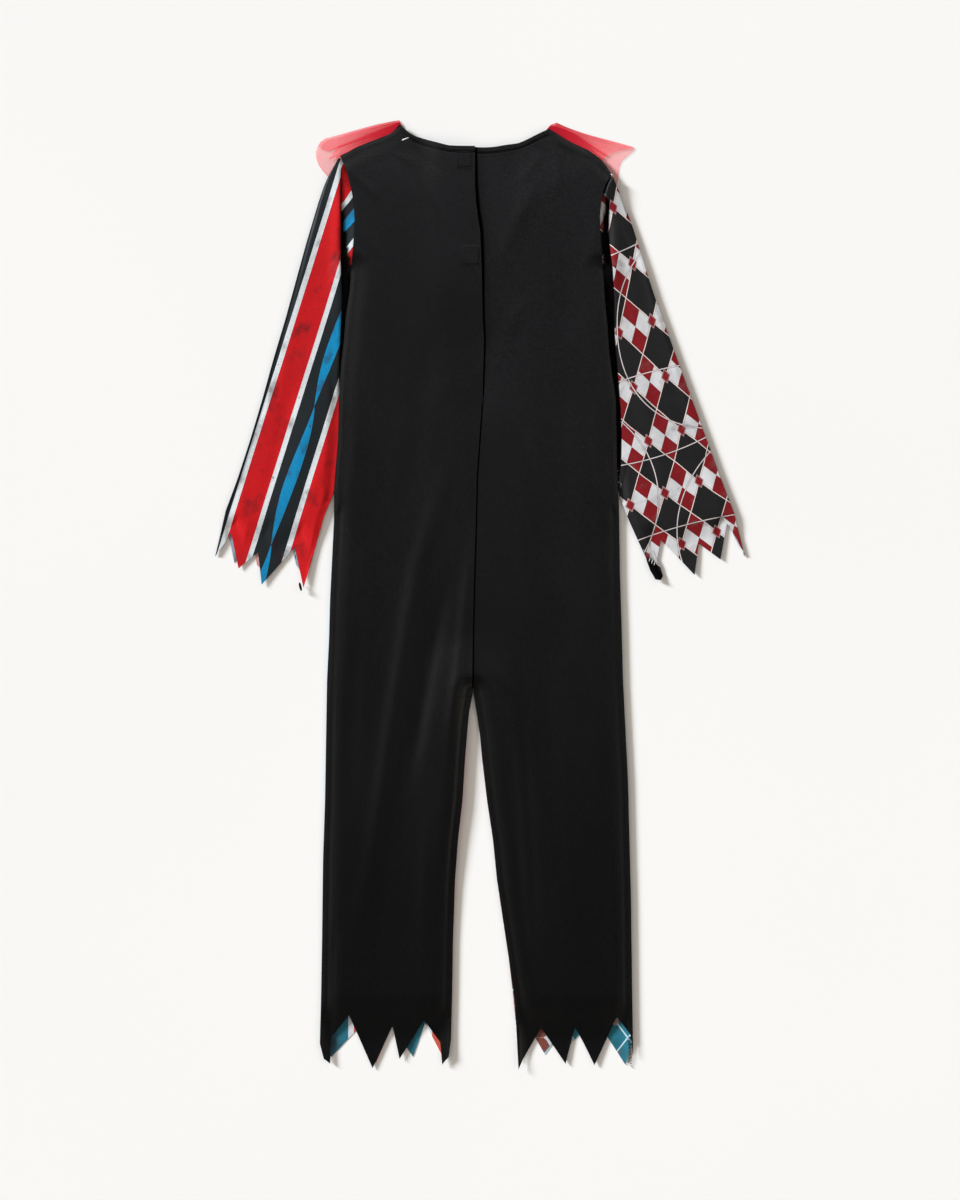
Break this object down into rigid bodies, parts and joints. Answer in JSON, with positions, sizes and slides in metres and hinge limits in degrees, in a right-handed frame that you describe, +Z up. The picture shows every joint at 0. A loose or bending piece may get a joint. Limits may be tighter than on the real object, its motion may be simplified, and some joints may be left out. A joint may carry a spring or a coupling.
{
  "type": "clown costume",
  "caption": "Child's clown jumpsuit laid flat, face down: black back with a hook-and-loop opening, striped and diamond sleeves, zigzag hems and a red net neck ruffle.",
  "frame": {"origin": "on the table under the middle of the garment's overall box", "axes": "+Y from the hems to the neck, +Z up from the table out of the costume's back, +X to the wearer's right side"},
  "size_m": [0.636, 1.1381, 0.0085],
  "materials": {
    "black_knit": "fine polyester knit with a slight sheen",
    "striped_print": "printed satin-faced polyester, lengthwise stripes",
    "harlequin_print": "printed satin-faced polyester, lozenges",
    "red_net": "soft see-through net",
    "black_tape": "hook-and-loop tape"
  },
  "bodies": {
    "root": {"back_left": "black_knit", "back_right": "black_knit", "front_left": "striped_print", "front_right": "harlequin_print", "sleeve_left": "striped_print", "sleeve_right": "harlequin_print", "ruffle_left": "red_net", "ruffle_right": "red_net", "hook_upper": "black_tape", "loop_upper": "black_tape", "hook_lower": "black_tape", "loop_lower": "black_tape"}
  },
  "joints": []
}
